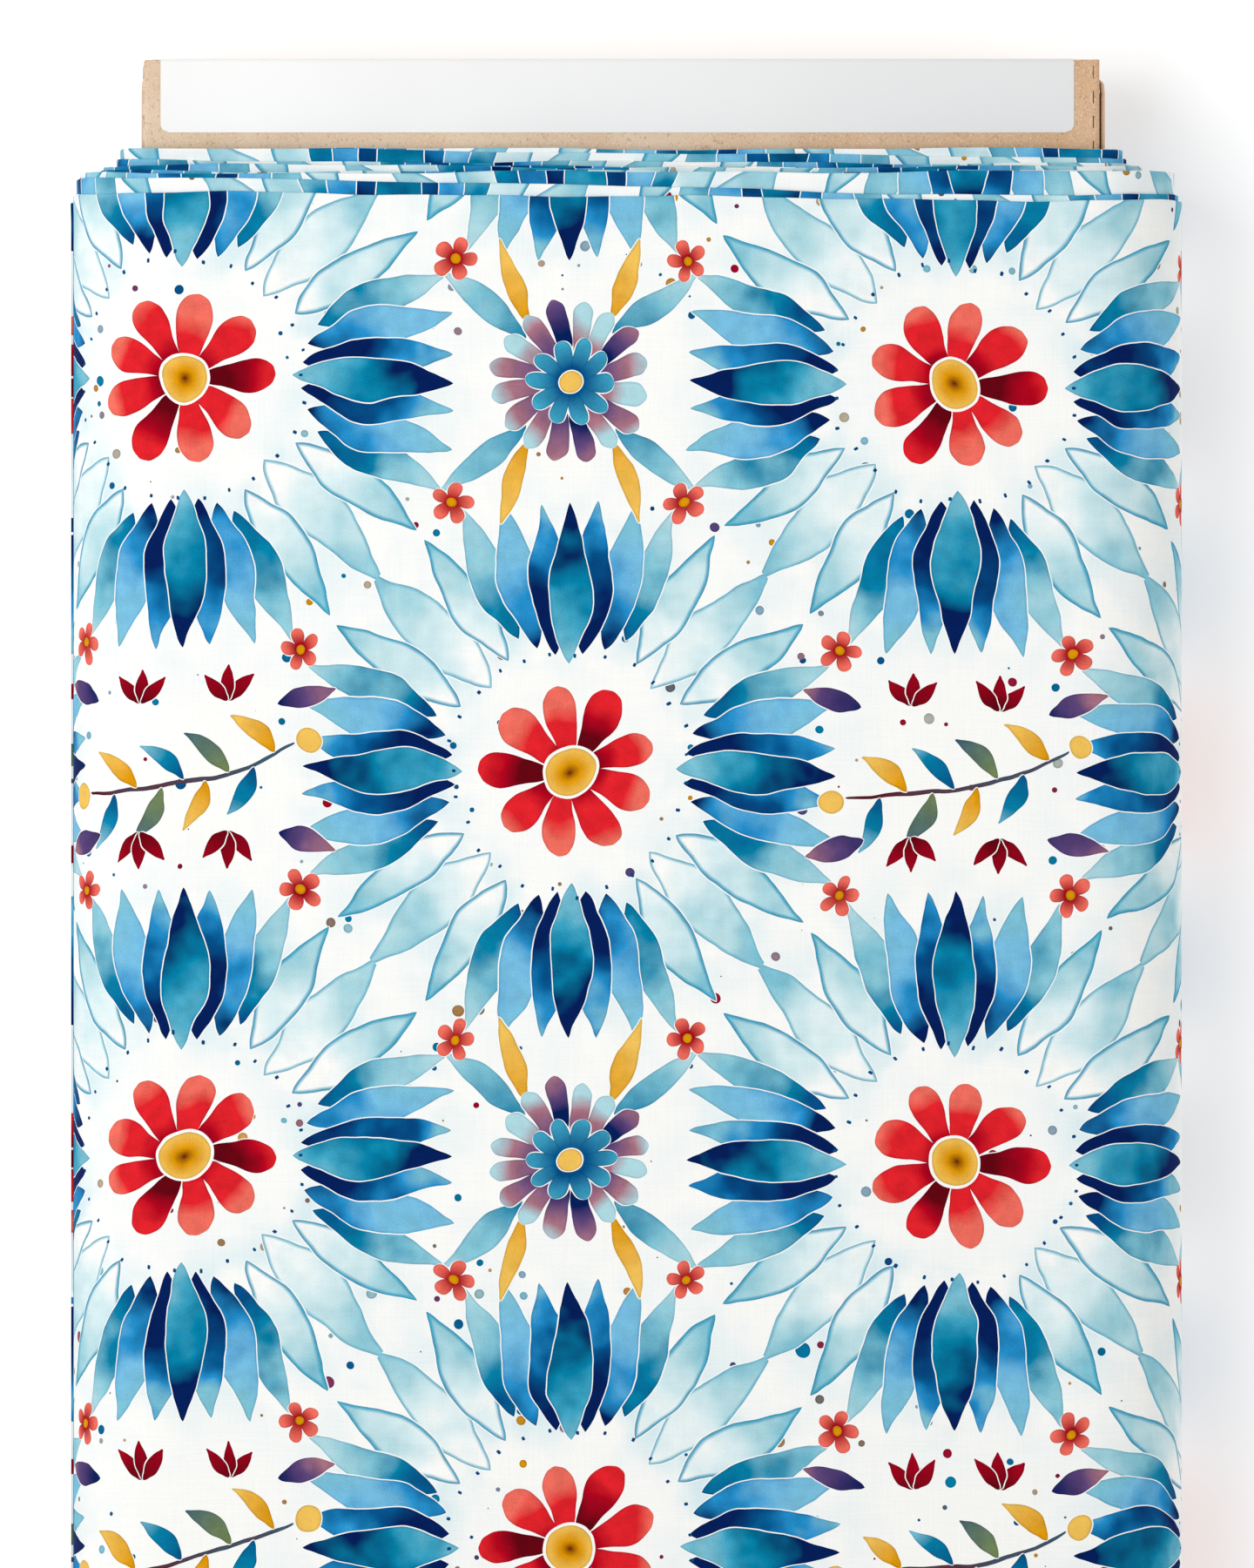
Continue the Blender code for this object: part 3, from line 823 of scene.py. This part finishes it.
def paint_scatter(p, point):
    """Small dots in the open ground."""
    g = p.g
    cells = g.node("ShaderNodeTexVoronoi", {"Vector": point, "Scale": DOT_CELLS, "Randomness": 0.85})
    chance, hue = g.split(cells.outputs["Color"])
    size = g.math("MULTIPLY_ADD", p.wash, 0.25, g.math("MULTIPLY_ADD", chance, 0.12, -0.008))
    open_ground = g.math("GREATER_THAN", p.depth, 0.9)
    tones = [(0.0, TEAL), (0.3, DEEP), (0.45, CRIMSON), (0.62, AQUA), (0.8, OCHRE), (1.0, SLATE)]
    spots = g.math("SUBTRACT", size, g.math("DIVIDE", cells.outputs["Distance"], DOT_CELLS))
    p.lay(spots, g.ramp(hue, tones), where=open_ground, rim=0.0)


def paint_print(g, point):
    """All the motifs of the print, over faint blue halos."""
    shake = g.split(g.noise(point, 0.62, 3.0, 0.36, colour=True))
    warped = [g.math("MULTIPLY_ADD", g.math("SUBTRACT", push, 0.5), WANDER, value)
              for push, value in zip(shake, g.split(point))]
    clouds = g.noise(point, 0.85, 2.0, 0.45)
    p = Painter(g, g.math("SUBTRACT", clouds, 0.5))
    flower, between, between_kind = folded_frames(g, warped)
    halo = g.curve(g.math("DIVIDE", g.reach(flower), HALO_REACH), HALO_FADE, 1.0)
    halo = g.math("MULTIPLY", halo, g.span(clouds, 0.40, 0.60))
    p.colour = g.mix(halo, GROUND, HALO)
    paint_wreath(p, flower)
    paint_flower(p, flower)
    paint_aster(p, between, between_kind)
    beside_branch = g.math("SUBTRACT", 1.0, between_kind)
    paint_branch(p, between, beside_branch)
    paint_fillers(p, between, beside_branch)
    paint_scatter(p, point)
    return p


def watercolour(g, p, point):
    """Bare rims, darker edges, pooled paint and paper-like grain."""
    colour = g.mix(g.math("LESS_THAN", p.depth, 0.0), p.colour, GROUND)
    near_edge = g.span(p.depth, 0.0, 0.05, 0.36, 0.0)
    edge = g.math("MULTIPLY", near_edge, g.math("GREATER_THAN", p.depth, 0.0))
    colour = g.tint(edge, colour, paint(120, 140, 180))
    grain = g.noise(point, 26.0, 2.0, 0.6)
    pool = g.noise(point, 3.2, 2.0, 0.5)
    tone = g.math("ADD", g.span(grain, 0.3, 0.7, 0.88, 1.06), g.span(pool, 0.3, 0.7, -0.10, 0.12))
    grey = g.node("ShaderNodeRGBToBW", {0: colour}).outputs[0]
    darkness = g.span(grey, 0.30, 0.75, 1.0, 0.25)
    strength = g.math("MULTIPLY", darkness, g.math("LESS_THAN", p.depth, 0.9))
    return g.node("ShaderNodeHueSaturation", {
        "Color": colour, "Value": tone, "Saturation": 1.03, "Fac": strength}).outputs[0]


def weave(g, uv):
    """Height of the crossing threads with their thick and thin places."""
    threads = g.place(uv, scale=(THREAD_PAIR, THREAD_PAIR))
    across, along = g.split(threads)
    crossing = g.math("MULTIPLY", g.math("SINE", g.math("MULTIPLY", across, 2 * math.pi)),
                      g.math("SINE", g.math("MULTIPLY", along, 2 * math.pi)))
    slub = g.noise(g.place(uv, scale=(0.0006, 0.012)), 1.0, 2.0, 0.6)
    slub_across = g.noise(g.place(uv, scale=(0.012, 0.0006)), 1.0, 2.0, 0.6)
    unevenness = g.math("ADD", slub, slub_across)
    return g.math("MULTIPLY_ADD", crossing, 0.25, unevenness)


def cloth_material():
    """Plain-weave cotton with a plain floral print in washy paint and unprinted selvedges."""
    g = Graph("printed_cotton")
    uv = g.node("ShaderNodeUVMap", uv_map="cloth").outputs[0]
    flower_u = length_at(TURNS - 0.875) + FLOWER_X - CORE_X
    flower_v = FLOWER_Y - (HALF_LENGTH - fold_setback(TURNS - 0.9))
    point = g.place(uv, at=(flower_u, flower_v), scale=(0.01, 0.01))
    colour = watercolour(g, paint_print(g, point), point)
    threads = weave(g, uv)
    colour = g.tint(g.span(threads, 0.7, 1.35, 0.0, 0.10), colour, paint(196, 196, 198))
    printed_from = -FOLDED_WIDTH + SELVEDGE
    selvedge = g.span(g.split(uv)[1], printed_from, printed_from + 0.0008, 1.0, 0.0)
    colour = g.mix(selvedge, colour, GROUND)
    normal = g.bump(threads, 0.5, 0.00012)
    return g.finish(colour, 0.92, normal, Specular_IOR_Level=0.06, Sheen_Weight=0.01)


# ======== Build the pieces ========
KRAFT = kraft_material("kraft_liner", paint(229, 204, 178), paint(217, 188, 158))
KRAFT_INSIDE = kraft_material("kraft_liner_inside", paint(206, 174, 142), paint(194, 160, 126), 0.6)
TORN = kraft_material("torn_kraft_fibre", paint(253, 243, 226), paint(246, 230, 206), 0.3)


def fix_to_core(piece):
    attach(piece, "bolt")


def wall_bow(point):
    """The side walls stand out a little between their creases, most where no cloth presses on them."""
    side = 1 if point.x > CORE_X else -1
    free = max(0.0, min(1.0, (abs(point.y) - BULGE_START) / BULGE_RUN))
    bulge = (LEFT_BULGE if side < 0 else RIGHT_BULGE) * (0.35 + 0.65 * free)
    height = (point.z - CORE_Z) / HALF_CORE
    return Vector((side * bulge * max(0.0, 1 - height * height), 0, 0))


def build_board():
    """Every core panel as real corrugated sheet in its CAD plate's place."""
    plan = {"front_panel": ("x", "z", "y", KRAFT, CREASE, CREASE)}
    for side, _ in SIDES:
        plan["back_panel_" + side] = ("x", "z", "y", KRAFT)
        plan[side + "_side_wall"] = ("z", "x", "y", KRAFT, 0.0, 0.0, WALL_STATIONS, wall_bow)
        plan[side + "_web"] = ("z", "x", "y", KRAFT_INSIDE)
        plan[side + "_glue_flange"] = ("x", "z", "y", KRAFT_INSIDE)
    for end, _ in ENDS:
        plan[end + "_flap"] = ("x", "y", "z", KRAFT)
        plan[end + "_tuck_tab"] = ("x", "z", "y", KRAFT)
        for side, _ in SIDES:
            plan[end + "_dust_flap_" + side] = ("z", "y", "x", KRAFT, DUST_BEND)
    bodies = frame["record"]["behaviour"]["bodies"]
    body_of = {node: body for body, nodes in bodies.items() for node in nodes}
    for node, settings in plan.items():
        piece = corrugated(node, *settings)
        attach(piece, body_of[node])
        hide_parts(node)


def build_creases():
    """The folded liner at the core's long scores. The front ones are perforated."""
    half = LINER / 2
    wall_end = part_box("left_side_wall")[1].y
    stations = round(2 * HALF_LENGTH / PERFORATION_PITCH) * 8
    for (side, sign), slits in zip(SIDES, (LEFT_SLITS, RIGHT_SLITS)):
        edge = CORE_X + sign * HALF_WIDTH
        profile = [(edge - sign * distance, CORE_TOP - half) for distance in (CREASE, SLIT_LINE)]
        profile += [(edge - sign * LONG_BEND + sign * first, second)
                    for first, second in quarter((0, CORE_TOP - LONG_BEND), LONG_BEND - half, 90, 0)]
        profile.append((edge - sign * half, CORE_TOP - SHEET + CREASE_FOOT))

        def cut(i, j, slits=slits):
            return j in slits and 2 <= i % 8 < 6

        piece = strip(side + "_perforated_crease", profile, "xz", -HALF_LENGTH, HALF_LENGTH,
                      stations, KRAFT, cut)
        if sign < 0:
            for vertex in piece.data.vertices:
                past = max(0.0, vertex.co.y - (HALF_LENGTH - RUBBED_CORNER))
                inset = RUBBED_CORNER - math.sqrt(max(RUBBED_CORNER ** 2 - past ** 2, 0.0))
                vertex.co.x = max(vertex.co.x, edge + inset)
        fix_to_core(piece)
        low = [(edge - sign * half, CORE_BOTTOM + BACK_CREASE)]
        low += [(edge - sign * LONG_BEND + sign * first, second)
                for first, second in quarter((0, CORE_BOTTOM + LONG_BEND), LONG_BEND - half, 0, -90)]
        fix_to_core(strip(side + "_back_crease", low, "xz", -wall_end, wall_end, 8, KRAFT))


def build_dust_creases():
    """The folded liner from each side wall round its end onto the dust flap."""
    half = LINER / 2
    wall_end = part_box("left_side_wall")[1].y
    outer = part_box("label_end_dust_flap_left")[1].y
    low, high = CORE_BOTTOM + CREASE, CORE_TOP - CREASE
    steps = 12
    for end, sign in ENDS:
        for side, out in SIDES:
            edge = CORE_X + out * HALF_WIDTH
            profile = [(edge - out * half, sign * wall_end)]
            profile += [(edge - out * DUST_BEND + out * first, sign * (outer - DUST_BEND + second))
                        for first, second in quarter((0, 0), DUST_BEND - half, 0, 90)]
            rows = []
            for step in range(steps + 1):
                z = low + (high - low) * step / steps
                row = []
                for place, (x, y) in enumerate(profile):
                    point = Vector((x, y, z))
                    bowed_share = 1 - place / (len(profile) - 1)
                    row.append(tuple(point + wall_bow(point) * bowed_share))
                rows.append(row)
            fix_to_core(thicken(grid_mesh(end + "_dust_crease_" + side, rows, KRAFT), LINER))


def build_corner_fills():
    """The crushed corners of the sheet under the front creases."""
    bottom, top = CORE_TOP - SHEET + CORNER_OVER, CORE_TOP - LINER - CORNER_UNDER
    far_x, far_y = HALF_WIDTH - LINER, HALF_LENGTH - CORNER_INSIDE
    for end, sign in ENDS:
        for side, out in SIDES:
            radius = RUBBED_CORNER if (end, side) == ("label_end", "left") else PLAIN_CORNER
            outline = [(far_x - radius + first, far_y - radius + second)
                       for first, second in quarter((0, 0), radius, 0, 90)]
            outline += [(HALF_WIDTH - CREASE, far_y), (HALF_WIDTH - CREASE, HALF_LENGTH - CREASE),
                        (far_x, HALF_LENGTH - CREASE)]
            body = bmesh.new()
            rings = [[body.verts.new((CORE_X + out * x, sign * y, z)) for x, y in outline]
                     for z in (bottom, top)]
            body.faces.new(rings[0])
            body.faces.new(rings[1][::-1])
            join_rings(body, rings)
            fix_to_core(finish_body(body, end + "_corner_fill_" + side, KRAFT, 50))


def build_torn_lips():
    """Pale torn fibre standing up along each perforation of the right crease."""
    line = CORE_X + HALF_WIDTH - SLIT_LINE
    body = bmesh.new()
    rng = random.Random(LIP_SEED)
    for cut in range(round(2 * HALF_LENGTH / PERFORATION_PITCH)):
        middle = -HALF_LENGTH + (cut + 0.5) * PERFORATION_PITCH
        length = PERFORATION_LENGTH * rng.uniform(*LIP_LENGTH)
        bulge = rng.uniform(*LIP_BULGE)
        rings = []
        for step in range(LIP_STEPS + 1):
            share = step / LIP_STEPS
            hump = math.sin(math.pi * share)
            x = line - bulge * hump
            y = middle + (share - 0.5) * length
            wide = 0.00006 + 0.00012 * hump
            high = 0.00004 + rng.uniform(*LIP_HEIGHT) * hump
            rings.append([body.verts.new((x + dx * wide, y, CORE_TOP - 0.00003 + dz * high))
                          for dx, dz in ((-1, 0), (0, 1), (1, 0), (0, -0.4))])
        join_rings(body, rings)
        body.faces.new(rings[0])
        body.faces.new(rings[-1])
    fix_to_core(finish_body(body, "torn_perforation_lips", TORN, 60))


def build_end_creases():
    """Folded liner from the front panel to each end flap."""
    half = LINER / 2
    for end, sign in ENDS:
        outer = sign * HALF_LENGTH
        profile = [(outer - sign * CREASE, CORE_TOP - half)]
        profile += [(outer - sign * END_BEND + sign * first, second)
                    for first, second in quarter((0, CORE_TOP - END_BEND), END_BEND - half, 90, 0)]
        profile.append((outer - sign * half, CORE_TOP - SHEET + END_CREASE_FOOT))
        piece = strip(end + "_crease", profile, "yz", CORE_X - HALF_WIDTH + CREASE,
                      CORE_X + HALF_WIDTH - CREASE, 60, KRAFT)
        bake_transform(piece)


def label_path(front, foot, lift):
    """The label's middle as (y, z), from its front edge over the end fold down to its foot."""
    steps = 24
    face = HALF_LENGTH - LABEL_BEND - front
    path = [(front + face * step / steps, CORE_TOP + lift) for step in range(steps + 1)]
    path += [(HALF_LENGTH - LABEL_BEND + first, CORE_TOP - LABEL_BEND + second)
             for first, second in quarter((0, 0), LABEL_BEND + lift, 90, 0, 8)][1:]
    drop = CORE_TOP - LABEL_BEND - foot
    path += [(HALF_LENGTH + lift, CORE_TOP - LABEL_BEND - drop * step / steps)
             for step in range(1, steps + 1)]
    return path


def build_label(material):
    """One blank paper label folded over the board's end, on the front panel and the end flap."""
    low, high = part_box("label_face_half")
    centre = (low.x + high.x) / 2
    half = (high.x - low.x) / 2
    path = label_path(low.y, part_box("label_end_half")[0].z, LABEL_THICKNESS / 2 + LABEL_GAP)
    travelled = [0.0]
    for before, after in zip(path, path[1:]):
        travelled.append(travelled[-1] + math.dist(before, after))
    columns = 20
    rows = []
    for (y, z), here in zip(path, travelled):
        near_end = min(here, travelled[-1] - here)
        inset = 0.0
        if near_end < LABEL_CORNER:
            from_round = LABEL_CORNER - near_end
            inset = LABEL_CORNER - math.sqrt(max(LABEL_CORNER ** 2 - from_round ** 2, 0.0))
        row = []
        for column in range(-columns, columns + 1):
            share = math.sin(column / columns * math.pi / 2)
            row.append((centre + share * (half - inset), y, z))
        rows.append(row)
    piece = thicken(grid_mesh("paper_label", rows, material), LABEL_THICKNESS)
    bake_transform(piece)
    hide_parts("label_face_half", "label_end_half")


def build_cloth(material):
    """The wound cloth in two meshes, coarse inside and fine outside, and its free end."""
    roll_end = TURNS - 0.25 + 0.25 * FREE_END_START
    last = TURNS - 0.25 + 0.25 * FREE_END_STOP
    inner, inner_length = wound_cloth(
        "cloth_inner_wraps", division_turns(START_TURN, SPLIT_TURN, 14, 6, 2), 5, material)
    outer, outer_length = wound_cloth(
        "cloth_outer_wrap", division_turns(SPLIT_TURN, roll_end, 40, 12, 4), 40, material)
    free_turns = [roll_end + (last - roll_end) * step / 14 for step in range(15)]
    free, free_length = wound_cloth("cloth_free_end_piece", free_turns, 40, material)
    for piece, length in ((inner, inner_length), (outer, outer_length)):
        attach(piece, "bolt")
    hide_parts("cloth_roll")
    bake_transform(free)
    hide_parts("cloth_free_end")


def paint_tape(material):
    """The tape keeps its CAD shape and gets its own material."""
    slots = frame["nodes"]["start_tape"].data.materials
    slots.clear()
    slots.append(material)


# ======== Floor, light and camera ========
def build_stage():
    mesh = bpy.data.meshes.new("floor")
    corners = [(x * FLOOR_SIDE, y * FLOOR_SIDE, 0) for x, y in ((-1, -1), (1, -1), (1, 1), (-1, 1))]
    mesh.from_pydata(corners, [], [(0, 1, 2, 3)])
    g = Graph("floor_white")
    floor = link_mesh("floor", mesh, g.finish(
        (0.70, 0.70, 0.70, 1.0), 0.9, Specular_IOR_Level=0.1,
        Emission_Color=(1.0, 1.0, 1.0, 1.0), Emission_Strength=0.42))
    floor.location.z = -FLOOR_DROP
    world = bpy.data.worlds.new("studio")
    world.use_nodes = True
    background = world.node_tree.nodes["Background"]
    background.inputs["Color"].default_value = (1.0, 1.0, 1.0, 1.0)
    background.inputs["Strength"].default_value = 0.465
    bpy.context.scene.world = world
    for settings in LIGHTS:
        add_light(*settings)


def add_light(name, place, size, power):
    light = bpy.data.lights.new(name, "AREA")
    light.shape = "SQUARE"
    light.size = size
    light.energy = power
    obj = add_object(name, light)
    obj.location = place
    aim = Vector(LIGHT_TARGET) - Vector(place)
    obj.rotation_euler = aim.to_track_quat("-Z", "Y").to_euler()
    obj.visible_camera = False


def build_camera():
    data = bpy.data.cameras.new("camera")
    data.sensor_width = SENSOR_WIDTH
    data.lens = data.sensor_width * CAMERA_DISTANCE / VIEW_HEIGHT
    data.clip_start = 0.05
    data.clip_end = 1000.0
    camera = add_object("camera", data)
    camera.location = (CAMERA_X, CAMERA_Y, CORE_TOP + CAMERA_DISTANCE)
    bpy.context.scene.camera = camera


build_camera()
build_stage()
build_board()
build_creases()
build_dust_creases()
build_corner_fills()
build_torn_lips()
build_end_creases()
build_label(paper_material())
build_cloth(cloth_material())
paint_tape(tape_material())
bpy.context.scene.view_settings.view_transform = "Standard"
